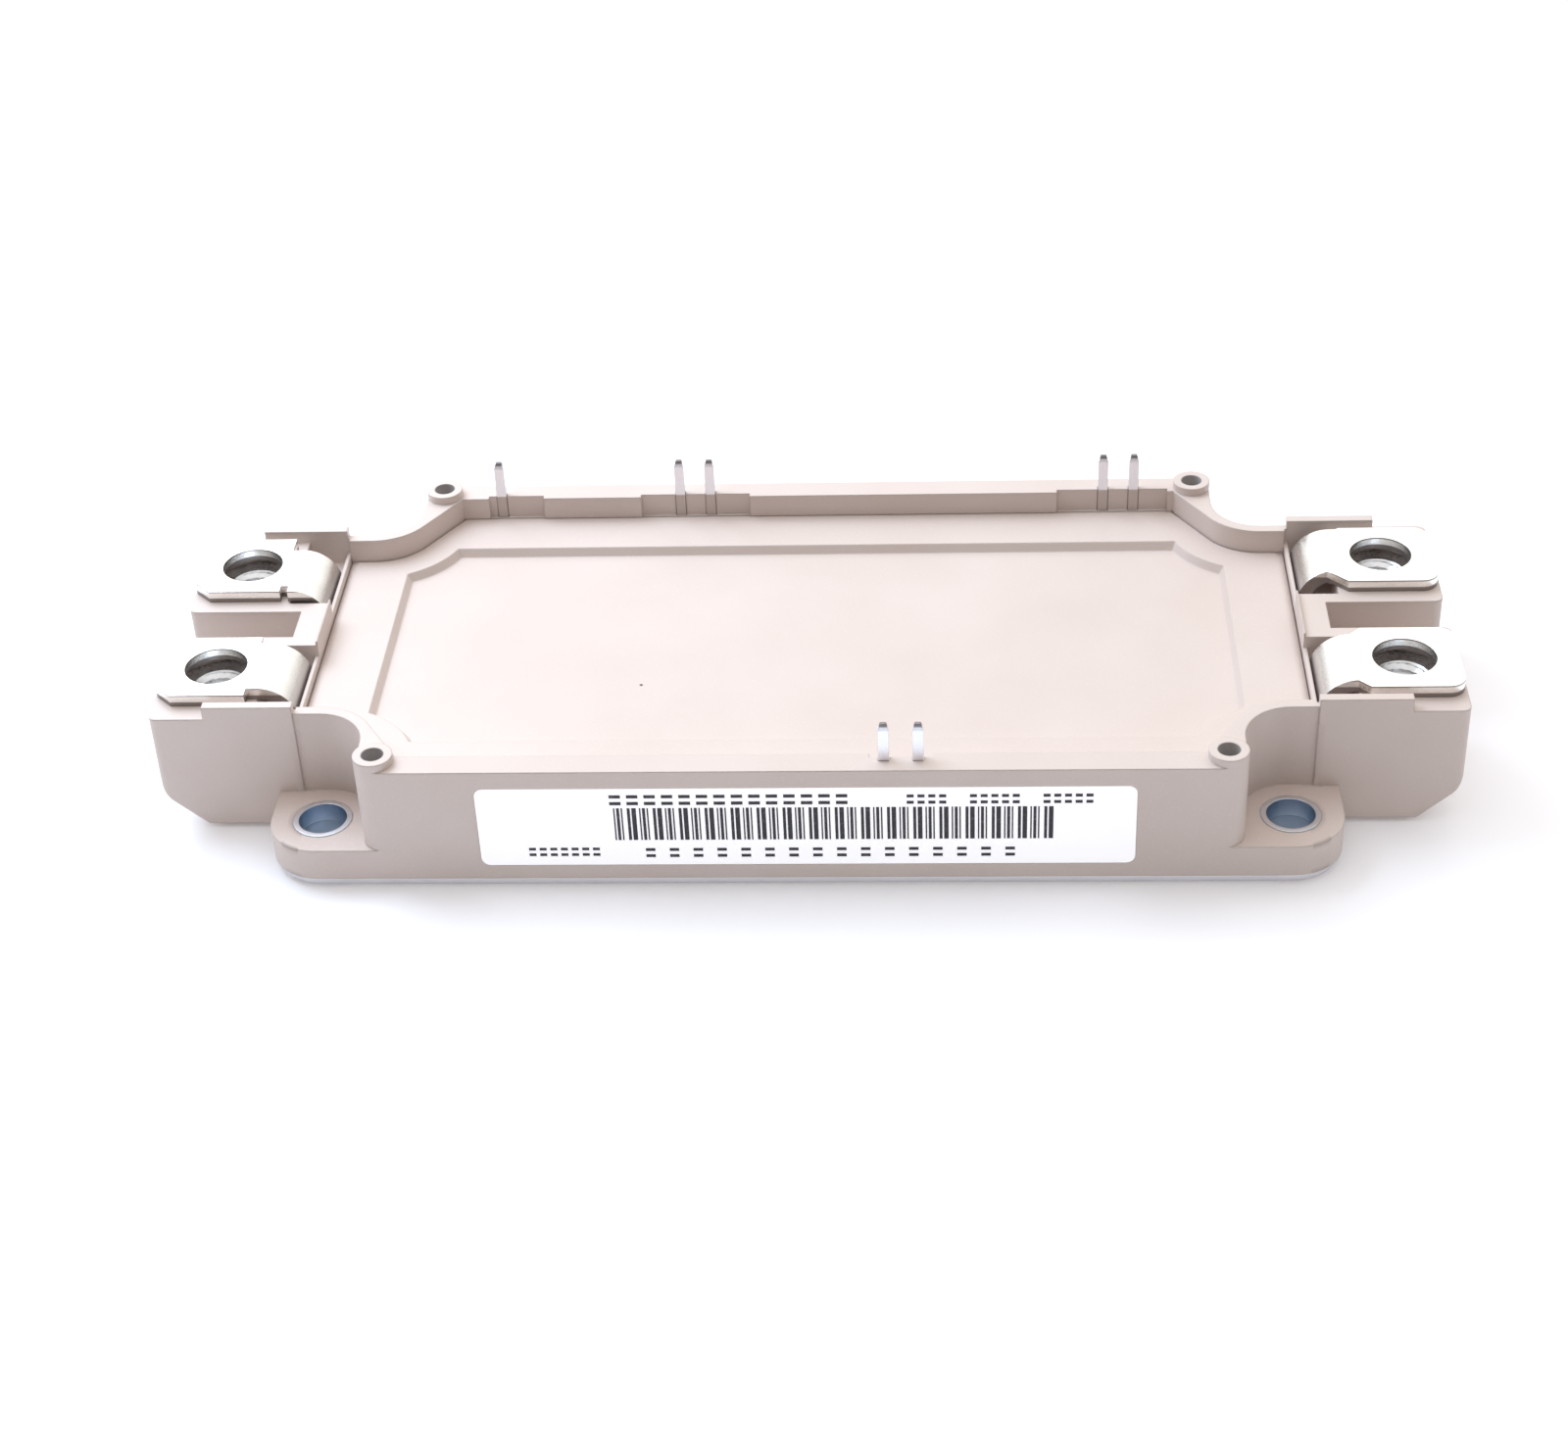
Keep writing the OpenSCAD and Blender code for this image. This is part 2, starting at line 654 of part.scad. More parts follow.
// Plan of a terminal: a plate with two outer corners and a narrower neck. Sloping shoulders lead to
// the neck of a terminal with round corners, and relief cuts stand at the neck of the others.
module strip_plan(round_ends, shift) {
    half = terminal_w / 2;
    start_x = terminal_x - shoulder_start;
    tail_x = foot_x - over;
    corner = [terminal_end_x, half];
    difference() {
        translate([tail_x, -half]) square([terminal_end_x - tail_x, terminal_w]);
        for (s = [-1, 1])
            mirror([0, s < 0 ? 1 : 0]) {
                neck_edge = neck_w / 2 + s * shift;
                if (round_ends) {
                    polygon([[tail_x - over, neck_edge], [start_x - half + neck_edge, neck_edge],
                        [start_x + over, half + over], [tail_x - over, half + over]]);
                    corner_waste(corner, [-1, 0], [0, -1], terminal_corner);
                } else {
                    translate([tail_x - over, neck_edge]) square([start_x - tail_x + over, far]);
                    translate([start_x - relief_w, half - relief_depth]) square([relief_w, far]);
                    translate(corner) rotate(45)
                        square(terminal_corner * sqrt(2), center = true);
                }
            }
        translate([terminal_x, 0]) circle(d = terminal_hole);
    }
}

module terminal(t) color(nickel)
    end_terminal(t)
        intersection() {
            translate([0, terminal_w, 0]) rotate([90, 0, 0])
                linear_extrude(2 * terminal_w) strip_profile();
            linear_extrude(rim_z + far) strip_plan(t[2], t[3] * t[1]);
        }

module nut(t) color(nickel)
    end_terminal(t) translate([terminal_x, 0, nut_z])
        difference() {
            intersection() {
                rotate(30) cylinder(d = nut_af / cos(30), h = nut_h, $fn = 6);
                nut_turning();
            }
            translate([0, 0, -eps]) cylinder(d = nut_bore, h = nut_h + 2 * eps);
        }

// Turned outline of a nut: its corners are chamfered at both faces
module nut_turning() {
    corner_r = nut_af / cos(30) / 2;
    face_r = nut_af / 2 - nut_face_inset;
    drop = (corner_r - face_r) * tan(30);
    rotate_extrude()
        polygon([[0, 0], [face_r, 0], [corner_r, drop], [corner_r, nut_h - drop], [face_r, nut_h],
            [0, nut_h]]);
}

module control_pin(p) color(nickel)
    at_pin(p) {
        translate([-pin_w / 2, pin_y - pin_t / 2, ledge_z])
            cube([pin_w, pin_t, pin_z - pin_tip - ledge_z]);
        translate([-pin_w / 2, pin_foot_y, ledge_z])
            cube([pin_w, pin_y - pin_foot_y, pin_t]);
        pin_taper();
    }

// Tip of a pin, drawn in on all four sides
module pin_taper() {
    tip_w = pin_w * pin_tip_share;
    tip_t = pin_t * pin_tip_share;
    translate([0, pin_y, pin_z - pin_tip])
        intersection() {
            translate([0, pin_t, 0]) rotate([90, 0, 0]) linear_extrude(2 * pin_t)
                polygon([[-pin_w / 2, 0], [pin_w / 2, 0], [tip_w / 2, pin_tip], [-tip_w / 2, pin_tip]]);
            translate([-pin_w, 0, 0]) rotate([90, 0, 90]) linear_extrude(2 * pin_w)
                polygon([[-pin_t / 2, 0], [pin_t / 2, 0], [tip_t / 2, pin_tip], [-tip_t / 2, pin_tip]]);
        }
}

// ---- substrates, chips and wires ----

module layer(i, z, t, l, w) {
    translate([i * substrate_pitch - l / 2, -w / 2, z]) cube([l, w, t]);
}

module solder_sheets() color("lightgray")
    for (i = [-1:1]) layer(i, solder_z, solder_t, copper_l, 2 * copper_y);

module lower_copper(i) color(copper)
    layer(i, lower_copper_z, copper_t, copper_l, 2 * copper_y);

module ceramic(i) color("white")
    layer(i, ceramic_z, ceramic_t, substrate_l, 2 * row_y);

// One copper field over the full length of a substrate, from y up by w
module field(i, y, w) {
    translate([i * substrate_pitch - copper_l / 2, y, track_z]) cube([copper_l, w, copper_t]);
}

module tracks(i) color(copper)
    difference() {
        union() {
            field(i, copper_y - gate_strip_w, gate_strip_w);
            field(i, plus_y, field_w);
            field(i, output_y, field_w);
            field(i, minus_y, minus_strip_w);
            field(i, -copper_y, gate_strip_w);
        }
        if (i == 1) thermistor_gaps();
    }

// Gaps that part the two thermistor pads from the gate strip and from each other
module thermistor_gaps() {
    for (x = [thermistor_x - track_gap / 2, thermistor_x - track_gap * 1.5 - thermistor_pad])
        translate([x, copper_y - gate_strip_w - eps, track_z - eps])
            cube([track_gap, gate_strip_w + 2 * eps, copper_t + 2 * eps]);
}

module thermistor() color("dimgray")
    translate([thermistor_x, copper_y - gate_strip_w / 2, chip_z + thermistor_h / 2])
        cube([thermistor_l, thermistor_w, thermistor_h], center = true);

// upper chips sit on the positive field and lower chips on the output field
function chip_row_y(upper) = (upper ? plus_y : output_y) + chip_edge;

module igbt(i, upper) color(silicon)
    translate([i * substrate_pitch + igbt_x - igbt_l / 2, chip_row_y(upper), chip_z])
        cube([igbt_l, igbt_l, chip_t]);

module diode(i, upper) color(silicon)
    translate([i * substrate_pitch + diode_x - diode_l / 2, chip_row_y(upper), chip_z])
        cube([diode_l, diode_w, chip_t]);

// A round wire from point a down to point b: an arc in an upright plane, cut level at both pads
module bond_wire(a, b, arch = wire_arch) {
    d = b - a;
    run = norm([d.x, d.y]);
    chord = norm([run, d.z]);
    rise = arch * run;
    r = (chord * chord / 4 + rise * rise) / (2 * rise);
    tilt = atan2(d.z, run);
    middle = [run / 2 + (r - rise) * sin(tilt), 0, d.z / 2 - (r - rise) * cos(tilt)];
    translate(a) rotate([0, 0, atan2(d.y, d.x)])
        intersection() {
            translate(middle) rotate([90, 0, 0])
                rotate_extrude($fn = 128) translate([r, 0]) circle(d = wire_d, $fn = 16);
            union() {
                start_l = run * start_share;
                translate([-over, -wire_d, 0]) cube([start_l + over, 2 * wire_d, rise + over]);
                translate([start_l - eps, -wire_d, d.z])
                    cube([run - start_l + over, 2 * wire_d, rise - d.z + over]);
            }
        }
}

// Wires from the chips of substrate i to the next field, and from the gates to their strips
module chip_wires(i) color("silver") {
    gate_x = i * substrate_pitch + igbt_x;
    strip_y = copper_y - gate_strip_w / 2;
    for (upper = [true, false]) {
        chip_y = chip_row_y(upper);
        next_y = upper ? output_y + field_w - wire_inset : minus_y + minus_strip_w / 2;
        for (k = [-1.5:1.5]) {
            x = gate_x + k * 2 * wire_pitch;
            bond_wire([x, chip_y + igbt_l / 3, chip_top_z], [x, next_y, chip_z]);
        }
        for (k = [-1:1]) {
            x = i * substrate_pitch + diode_x + k * 2 * wire_pitch;
            bond_wire([x, chip_y + diode_w / 3, chip_top_z], [x, next_y, chip_z]);
        }
    }
    bond_wire([gate_x, chip_row_y(true) + igbt_l - wire_inset, chip_top_z], [gate_x, strip_y, chip_z]);
    bond_wire([gate_x, chip_row_y(false) + wire_inset, chip_top_z], [gate_x, -strip_y, chip_z]);
}

// Wires that join the fields of neighbouring substrates
module link_wires() color("silver") {
    reach = substrate_gap / 2 + ceramic_border + wire_inset;
    for (s = [-1, 1], k = [0:2]) {
        x = s * substrate_pitch / 2;
        for (field_top = [plus_y + field_w, output_y + field_w, minus_y + minus_strip_w]) {
            y = field_top - wire_inset - k * link_pitch;
            bond_wire([x - reach, y, chip_z], [x + reach, y, chip_z]);
        }
    }
}

// Four wires from the foot of terminal t, the first at height y of the plan, to the copper field
// whose first landing place is at distance `inset` from the row's end, each `step` further on
module foot_wires(t, y, landing_y, step) {
    edge_x = row_x - ceramic_border - wire_inset;
    for (k = [0:3])
        bond_wire([t[0] * (foot_x + wire_inset), y + k * wire_pitch, foot_z + terminal_t],
            [t[0] * (edge_x - k * step.x), landing_y + k * step.y, chip_z], terminal_wire_arch);
}

// Wires from a terminal's foot to its field: positive, negative or output
module terminal_wires() color("silver") {
    side = [0, wire_pitch];
    spread = 1.5 * wire_pitch;
    foot_start = wire_inset - neck_w / 2;
    foot_wires(PLUS, terminal_y - spread, plus_y + field_w / 2 - spread, side);
    foot_wires(MINUS, -terminal_y + foot_start, minus_y + minus_strip_w / 2, [link_pitch, 0]);
    foot_wires(OUTPUT_FRONT, -terminal_y - spread, output_y + field_w / 4 - spread, side);
    foot_wires(OUTPUT_REAR, terminal_y + neck_shift + foot_start, output_y + field_w / 2 + over, side);
}

// The nearest place for a wire on the strip of the nearest substrate
function strip_x(x) =
    let (i = min(1, max(-1, round(x / substrate_pitch))), reach = copper_l / 2 - wire_inset)
    i * substrate_pitch + min(reach, max(-reach, x - i * substrate_pitch));

module pin_wires() color("silver")
    for (p = PINS)
        bond_wire([p[0] * pin_grid, p[1] * (pin_foot_y + wire_inset), ledge_z + pin_t],
            [strip_x(p[0] * pin_grid), p[1] * (copper_y - gate_strip_w / 2), chip_z]);

module gel_layer() color([0.85, 0.9, 0.9, 0.6])
    translate([0, 0, gel_z]) linear_extrude(gel_t) inner_outline(cavity_x, cavity_y, seat_w);

// ---- assembly ----

base_plate();
frame();
lid();
side_label();
terminal(PLUS);  // terminal_plus
terminal(MINUS);  // terminal_minus
terminal(OUTPUT_FRONT);  // terminal_output_front
terminal(OUTPUT_REAR);  // terminal_output_rear
nut(PLUS);  // nut_plus
nut(MINUS);  // nut_minus
nut(OUTPUT_FRONT);  // nut_output_front
nut(OUTPUT_REAR);  // nut_output_rear
collar(-1, -1);  // collar_front_left
collar(1, -1);  // collar_front_right
collar(-1, 1);  // collar_rear_left
collar(1, 1);  // collar_rear_right
control_pin(PINS[0]);  // control_pin_1
control_pin(PINS[1]);  // control_pin_2
control_pin(PINS[2]);  // control_pin_3
control_pin(PINS[3]);  // control_pin_4
control_pin(PINS[4]);  // control_pin_5
control_pin(PINS[5]);  // control_pin_6
control_pin(PINS[6]);  // control_pin_7
solder_sheets();
lower_copper(-1);  // lower_copper_left
lower_copper(0);  // lower_copper_middle
lower_copper(1);  // lower_copper_right
ceramic(-1);  // ceramic_left
ceramic(0);  // ceramic_middle
ceramic(1);  // ceramic_right
tracks(-1);  // tracks_left
tracks(0);  // tracks_middle
tracks(1);  // tracks_right
igbt(-1, true);  // igbt_left_upper
igbt(-1, false);  // igbt_left_lower
igbt(0, true);  // igbt_middle_upper
igbt(0, false);  // igbt_middle_lower
igbt(1, true);  // igbt_right_upper
igbt(1, false);  // igbt_right_lower
diode(-1, true);  // diode_left_upper
diode(-1, false);  // diode_left_lower
diode(0, true);  // diode_middle_upper
diode(0, false);  // diode_middle_lower
diode(1, true);  // diode_right_upper
diode(1, false);  // diode_right_lower
thermistor();
chip_wires(-1);  // chip_wires_left
chip_wires(0);  // chip_wires_middle
chip_wires(1);  // chip_wires_right
link_wires();
terminal_wires();
pin_wires();
gel_layer();
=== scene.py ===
# %% [markdown]
# # A half-bridge power module
# The real object is a metal base plate with a moulded plastic frame glued over it. A sunken lid
# closes the frame, four nickel-plated strips are bent over captive nuts at its ends, and seven
# thin pins stand up from its rims. Its solids are already exact, so this lesson leaves their
# shapes alone and works on what a drawing leaves out: the finish of each material, the threads in
# the nuts, the print on the label and the light.

# %% Load the solids
import json
import math

import bpy
import numpy as np
from mathutils import Matrix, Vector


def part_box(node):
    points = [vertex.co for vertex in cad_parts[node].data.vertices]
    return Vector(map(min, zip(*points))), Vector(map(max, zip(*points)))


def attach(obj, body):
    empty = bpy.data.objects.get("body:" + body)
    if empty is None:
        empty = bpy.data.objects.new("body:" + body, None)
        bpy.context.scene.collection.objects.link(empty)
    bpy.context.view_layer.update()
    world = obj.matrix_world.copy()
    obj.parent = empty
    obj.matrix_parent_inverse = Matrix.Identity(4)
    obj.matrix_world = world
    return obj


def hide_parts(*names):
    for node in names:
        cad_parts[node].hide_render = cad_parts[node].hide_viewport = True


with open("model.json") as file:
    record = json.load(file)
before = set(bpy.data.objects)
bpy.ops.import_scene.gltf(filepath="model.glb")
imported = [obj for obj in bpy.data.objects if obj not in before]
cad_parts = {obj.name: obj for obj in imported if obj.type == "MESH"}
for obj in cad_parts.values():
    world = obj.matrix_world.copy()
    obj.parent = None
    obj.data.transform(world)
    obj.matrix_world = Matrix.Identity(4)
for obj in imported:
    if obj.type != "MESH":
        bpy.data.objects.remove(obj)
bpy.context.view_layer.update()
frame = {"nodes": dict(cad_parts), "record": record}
nodes = frame["nodes"]
MM = 0.001

# %% [markdown]
# The view looks down over the long side. A long lens keeps the far edge nearly parallel to the
# near one. The camera is placed from three angles and a distance to the point it looks at,
# because those four numbers can be changed one at a time, where a matrix can't.

# %% Camera
TARGET = np.array([-2.57, -10.87, 8.0]) * MM
AZIMUTH, ELEVATION, ROLL = np.radians([4.14, 35.34, -2.79])
DISTANCE = 333.67 * MM
LENS_MM, SENSOR_MM = 65.46, 36


def camera_axes(azimuth, elevation, roll):
    """Right, up and backward unit vectors; right and up are turned by roll about backward."""
    back = np.array(
        [
            math.sin(azimuth) * math.cos(elevation),
            -math.cos(azimuth) * math.cos(elevation),
            math.sin(elevation),
        ]
    )
    level = np.array([math.cos(azimuth), math.sin(azimuth), 0.0])
    upward = np.cross(back, level)
    right = level * math.cos(roll) + upward * math.sin(roll)
    return right, np.cross(back, right), back


right, up, back = camera_axes(AZIMUTH, ELEVATION, ROLL)
camera_data = bpy.data.cameras.new("camera")
camera_data.lens = LENS_MM
camera_data.sensor_width = SENSOR_MM
camera_data.clip_start = 0.01
camera = bpy.data.objects.new("camera", camera_data)
bpy.context.scene.collection.objects.link(camera)
pose = np.eye(4)
pose[:3, :] = np.stack([right, up, back, TARGET + back * DISTANCE], -1)
camera.matrix_world = Matrix(pose.tolist())
bpy.context.scene.camera = camera
print("camera in mm:", np.round(pose[:3, 3] / MM, 1))

# %% [markdown]
# Colours are easiest to choose as the hex values of a colour picker, but a shader counts light,
# so each value has to be turned linear first. A second helper adds one shader node with its
# settings and links. Every material below is a Principled surface whose plain numbers sit on its
# own sockets.

# %% Colour and node helpers
def linear(hex_code):
    """Linear RGBA of an sRGB hex code.

    A share c becomes c / 12.92 up to 0.04045, and ((c + 0.055) / 1.055) ^ 2.4 above it.
    """
    c = np.array([int(hex_code[i : i + 2], 16) for i in (0, 2, 4)]) / 255
    c = np.where(c <= 0.04045, c / 12.92, ((c + 0.055) / 1.055) ** 2.4)
    return (*c.tolist(), 1.0)


def add(tree, kind, inputs=(), **settings):
    """One new node: settings are its properties, inputs maps sockets to values or outputs."""
    node = tree.nodes.new("ShaderNode" + kind)
    for name, value in settings.items():
        setattr(node, name, value)
    for name, value in dict(inputs).items():
        if isinstance(value, bpy.types.NodeSocket):
            tree.links.new(value, node.inputs[name])
        else:
            node.inputs[name].default_value = value
    return node


def surface(name, **values):
    """A new material, its tree and its Principled node; a _ in a value's name is a space."""
    print("finish:", name)
    material = bpy.data.materials.new(name)
    material.use_nodes = True
    tree = material.node_tree
    shader = tree.nodes["Principled BSDF"]
    for key, value in values.items():
        shader.inputs[key.replace("_", " ")].default_value = value
    return material, tree, shader


def noise(tree, size_mm, detail=2.0, stretch=(1, 1, 1)):
    """Noise on Object coordinates, about size_mm across and stretched along the axes."""
    place = add(tree, "TexCoord")
    scaled = add(tree, "Mapping", {"Vector": place.outputs["Object"], "Scale": stretch})
    return add(
        tree,
        "TexNoise",
        {"Vector": scaled.outputs["Vector"], "Scale": 1 / (size_mm * MM), "Detail": detail},
    )


def between(tree, factor, low, high, low_at=0.3, high_at=0.7):
    """Factor from low_at to high_at mapped to the range low to high."""
    return add(
        tree,
        "MapRange",
        {"Value": factor, "From Min": low_at, "From Max": high_at, "To Min": low, "To Max": high},
    ).outputs["Result"]


def blend(tree, factor, first, second, mode="MIX"):
    """Colour between first and second by factor."""
    mix = add(tree, "Mix", data_type="RGBA", blend_type=mode)
    sockets = {"Factor": factor, "A": first, "B": second}
    for name, value in sockets.items():
        kind = "VALUE" if name == "Factor" else "RGBA"
        socket = next(s for s in mix.inputs if s.name == name and s.type == kind)
        if isinstance(value, bpy.types.NodeSocket):
            tree.links.new(value, socket)
        else:
            socket.default_value = value
    return next(s for s in mix.outputs if s.type == "RGBA")


def bumped(tree, shader, height, depth_mm, strength=1.0, soft=None):
    """Bumps the shader's normal by a height of 0 to 1 for depth_mm, on edges soft metres round."""
    bump = add(
        tree, "Bump", {"Height": height, "Distance": depth_mm * MM, "Strength": strength}
    )
    if soft:
        rounded = add(tree, "Bevel", {"Radius": soft}, samples=8)
        tree.links.new(rounded.outputs["Normal"], bump.inputs["Normal"])
    tree.links.new(bump.outputs["Normal"], shader.inputs["Normal"])


def upright(tree):
    """1 on faces that stand upright, 0 on level ones, from the size of the normal's height."""
    normal = add(tree, "SeparateXYZ", {"Vector": add(tree, "NewGeometry").outputs["Normal"]})
    size = add(tree, "Math", {0: normal.outputs["Z"]}, operation="ABSOLUTE").outputs[0]
    return between(tree, size, 1, 0, 0.3, 0.6)


def rise(tree):
    """Height of a point above the floor, in metres."""
    place = add(tree, "SeparateXYZ", {"Vector": add(tree, "TexCoord").outputs["Object"]})
    return place.outputs["Z"]


FADE = 0.1 * MM
FROM_ABOVE = (1, 1, 0)
BORE_SKIN_MM = 0.02
MOUNTS = {mount["name"]: mount["dims"] for mount in frame["record"]["mounts"]}


def near(tree, point, radius, keep=(1, 1, 1), mirrored=False):
    """1 within a radius of a point and 0 past FADE more, measured along the kept axes only.

    Mirrored, the same holds at the point's mirror images in the planes through the origin.
    """
    place = add(tree, "TexCoord").outputs["Object"]
    if mirrored:
        place = add(tree, "VectorMath", {0: place}, operation="ABSOLUTE").outputs["Vector"]
    away = add(tree, "VectorMath", {0: place, 1: point}, operation="SUBTRACT").outputs["Vector"]
    kept = add(tree, "VectorMath", {0: away, 1: keep}, operation="MULTIPLY").outputs["Vector"]
    reach = add(tree, "VectorMath", {0: kept}, operation="LENGTH").outputs["Value"]
    return between(tree, reach, 1, 0, radius, radius + FADE)


def bore_shade_mask(tree, mount):
    """1 on the walls of a mount's four bores, where shade is painted; they stand at the corners of
    a rectangle.
    """
    dims = MOUNTS[mount]
    corner = (dims["spacing_x_mm"] / 2 * MM, dims["spacing_y_mm"] / 2 * MM, 0)
    return near(tree, corner, (dims["hole_r_mm"] + BORE_SKIN_MM) * MM, FROM_ABOVE, mirrored=True)


# %% [markdown]
# The frame and the lid are glass-filled PBT, injection moulded. It is a warm pale grey with a
# faint pink cast, satin rather than glossy, because the mould is spark eroded to a fine grain and
# short glass fibres float up to the skin. Two slow patches of hue, a speckle of fibres and a
# grain bump carry that. Real fibres are about 0.01 mm thick and the grain 0.05 mm, too fine to
# show, so they are drawn 0.35 mm and 0.22 mm wide. A fine bevel in the normals catches the light
# along every moulded edge, as the real radii do. It is wider at the seam where the end blocks
# meet the body, because the real walls run into each other there. The screw bores of the posts
# are painted darker, as painted shade deep in the holes, and one speck lies on the lid.

# %% Moulded plastic
SEAM = (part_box("lid")[1][0] + 0.2 * MM, 0, 0)
SEAM_REACH = 1.0 * MM
BELOW_LEDGES, AT_LEDGES = 13.5 * MM, 14 * MM
MOULDED_EDGE, SEAM_EDGE = 0.3 * MM, 1.6 * MM
SPECK = (-19.3 * MM, -8.3 * MM, 0)
SPECK_RADIUS = 0.15 * MM


def edge_radius(tree):
    """MOULDED_EDGE, but SEAM_EDGE close to the seam plane and below the blocks' ledges."""
    at_seam = near(tree, SEAM, SEAM_REACH, (1, 0, 0), mirrored=True)
    low = between(tree, rise(tree), 1, 0, BELOW_LEDGES, AT_LEDGES)
    both = add(tree, "Math", {0: at_seam, 1: low}, operation="MULTIPLY").outputs[0]
    return between(tree, both, MOULDED_EDGE, SEAM_EDGE, 0, 1)


def moulded_pbt():
    """Glass-filled PBT: patches, flecks, painted shade in the post bores and one speck, under a
    grain bump.
    """
    material, tree, shader = surface("moulded_glass_filled_pbt", Roughness=0.42, IOR=1.55)
    patches = noise(tree, 14.0, 3.0).outputs["Fac"]
    fibres = noise(tree, 0.35, 1.0, (1, 3, 3)).outputs["Fac"]
    grain = noise(tree, 0.22, 2.0).outputs["Fac"]
    base = blend(tree, between(tree, patches, 0, 1), linear("DACCC5"), linear("D6C7BF"))
    fleck = blend(tree, between(tree, fibres, 0, 0.35, 0.62, 0.78), base, linear("EDE5DE"))
    # Painted shade: the walls of the post bores are painted darker, as the shade deep in the
    # holes.
    painted_bore_shade = blend(tree, bore_shade_mask(tree, "board_posts"), fleck, linear("BBB5B2"))
    at_speck = near(tree, SPECK, SPECK_RADIUS, FROM_ABOVE)
    marked = blend(tree, at_speck, painted_bore_shade, linear("3A3534"))
    tree.links.new(marked, shader.inputs["Base Color"])
    tree.links.new(between(tree, patches, 0.38, 0.47), shader.inputs["Roughness"])
    bumped(tree, shader, grain, 0.012, 0.6, soft=edge_radius(tree))
    return material


plastic = moulded_pbt()

# %% [markdown]
# The strips are copper, blanked, bent and nickel plated. Plating gives a bright warm white metal
# that still shows the fine lines of rolling, drawn 0.25 mm wide because real ones are too fine to
# show. On the upright edges the lower part of the thickness is painted darker, a painted shadow of
# the gap under the strip, and a thin line along the top arris is painted dark as painted shade.
# Both bands are chosen by height, on upright faces, and are a little rougher.

# %% Nickel-plated strip
STRIP_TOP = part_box("terminal_plus")[1][2]
STRIP_T = 1.5 * MM
GAP_SHADE_BELOW = STRIP_TOP - 0.62 * STRIP_T
ARRIS_LOW, ARRIS_HIGH = STRIP_TOP - 0.22 * MM, STRIP_TOP - 0.1 * MM


def nickel_plated_strip():
    """Nickel on rolled copper: fine lines all over, and painted shade in bands on the upright
    edges.
    """
    material, tree, shader = surface("nickel_plated_strip", Metallic=1.0, Roughness=0.3)
    rolling = noise(tree, 0.25, 2.0, (0.08, 1, 1)).outputs["Fac"]
    smudges = noise(tree, 3.0, 3.0).outputs["Fac"]
    side = upright(tree)
    # Painted shade: the lower part of each upright edge is darkened as a painted shadow of the gap
    # under the strip, and a thin line at the top arris as a painted dark edge.
    gap_shade = between(tree, rise(tree), 1, 0, GAP_SHADE_BELOW - FADE / 2, GAP_SHADE_BELOW + FADE / 2)
    arris = between(tree, rise(tree), 0, 1, ARRIS_LOW, ARRIS_HIGH)
    painted_edge_shade = add(tree, "Math", {0: gap_shade, 1: arris}, operation="MAXIMUM").outputs[0]
    painted_side_shade = add(tree, "Math", {0: side, 1: painted_edge_shade}, operation="MULTIPLY").outputs[0]
    plain = blend(tree, between(tree, smudges, 0, 1), linear("FAF8F4"), linear("F3F0EC"))
    tree.links.new(blend(tree, painted_side_shade, plain, linear("9A928E")), shader.inputs["Base Color"])
    rough = between(tree, rolling, 0.24, 0.34)
    # The painted dark bands are also made a little rougher.
    worn = add(tree, "Math", {0: painted_side_shade, 1: 0.2, 2: rough}, operation="MULTIPLY_ADD")
    tree.links.new(worn.outputs[0], shader.inputs["Roughness"])
    bumped(tree, shader, rolling, 0.003, 0.3, soft=0.12 * MM)
    return material


nickel = nickel_plated_strip()

# %% [markdown]
# The base plate is copper too, nickel plated to a satin finish, and shows only as a cool line
# under the frame; the walls of its mounting holes are painted darker and bluer, as painted shade.
# The collars are turned steel bushes with bright zinc, with a fine turned line and a blue cast.
# Their level faces are painted paler, a painted highlight, and their upright faces, the bores
# above all, darker and bluer, as painted shade. The pins are tinned and duller, darker at the
# sheared tip, with a skin of the frame's plastic up to the top of the rim, where the mould closed
# on them. The nuts are plain plated steel. The lines of turning and drawing are again drawn
# coarser than real ones, 0.15 mm to 0.3 mm wide, so that they show at all.

# %% Base plate, collars, pins and nuts
def satin_nickel_plate():
    """Satin nickel with lines along the plate, and painted shade, darker and bluer, in the
    mounting holes.
    """
    material, tree, shader = surface("satin_nickel_plate", Metallic=1.0, Roughness=0.35)
    lines = noise(tree, 0.3, 2.0, (0.1, 0.1, 1)).outputs["Fac"]
    tint = blend(tree, between(tree, lines, 0, 1), linear("EFF0F6"), linear("F8F8FB"))
    # Painted shade: the walls of the mounting holes are painted darker and bluer.
    painted_bore_shade = blend(tree, bore_shade_mask(tree, "heatsink_holes"), tint, linear("ABBACB"))
    tree.links.new(painted_bore_shade, shader.inputs["Base Color"])
    tree.links.new(between(tree, lines, 0.34, 0.46), shader.inputs["Roughness"])
    bumped(tree, shader, lines, 0.004, 0.5, soft=0.15 * MM)
    return material


